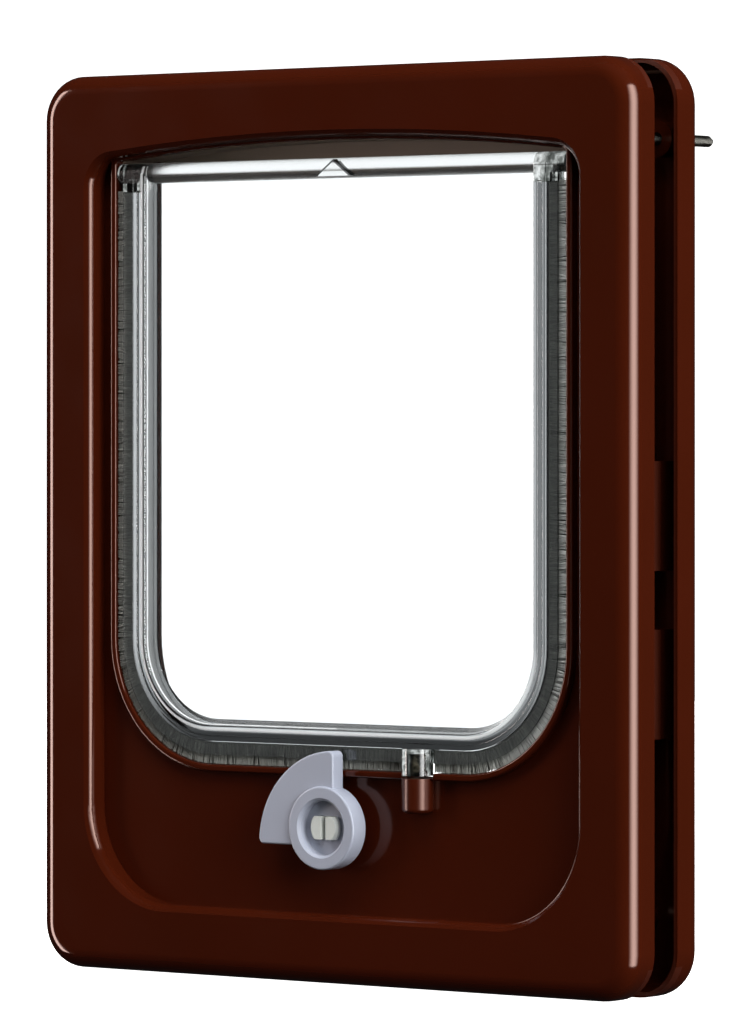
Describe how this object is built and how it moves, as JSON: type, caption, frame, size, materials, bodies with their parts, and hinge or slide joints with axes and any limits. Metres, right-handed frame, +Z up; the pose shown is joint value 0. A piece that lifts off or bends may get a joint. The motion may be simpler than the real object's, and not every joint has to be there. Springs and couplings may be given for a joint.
{
  "type": "cat flap",
  "caption": "Cat flap for a door: two dark frames clamp the door, and a clear flap with a brush edge swings on a bar, held by a magnet and a turning lock.",
  "frame": {"origin": "middle of the box around the whole part, at the bottom edge of the frames", "axes": "+X to the right as seen from the lock's side, +Y from the front frame to the rear frame, +Z up"},
  "size_m": [0.198, 0.0518, 0.24],
  "materials": {
    "brown_plastic": "polished",
    "clear_plastic": "clear, polished",
    "pile": "brushed pile",
    "grey_plastic": "satin",
    "magnet": "satin",
    "zinc_steel": "zinc plated"
  },
  "bodies": {
    "frame": {"front_frame": "brown_plastic", "rear_frame": "brown_plastic", "post_magnet": "magnet", "screws": "zinc_steel", "nuts": "zinc_steel"},
    "swing_flap": {"flap": "clear_plastic", "pile_strip_long": "pile", "pile_strip_short": "pile", "flap_magnet": "magnet"},
    "lock": {"lock_knob": "grey_plastic", "lock_spindle": "grey_plastic"}
  },
  "joints": [
    {"name": "flap_swing", "type": "hinge", "parent": "frame", "child": "swing_flap", "pos_m": [0, -0.0171, 0.2135], "axis": [1, 0, 0], "range_deg": [0, 80]},
    {"name": "lock_turn", "type": "hinge", "parent": "frame", "child": "lock", "pos_m": [0, -0.0205, 0.041], "axis": [0, 1, 0], "continuous": true}
  ]
}
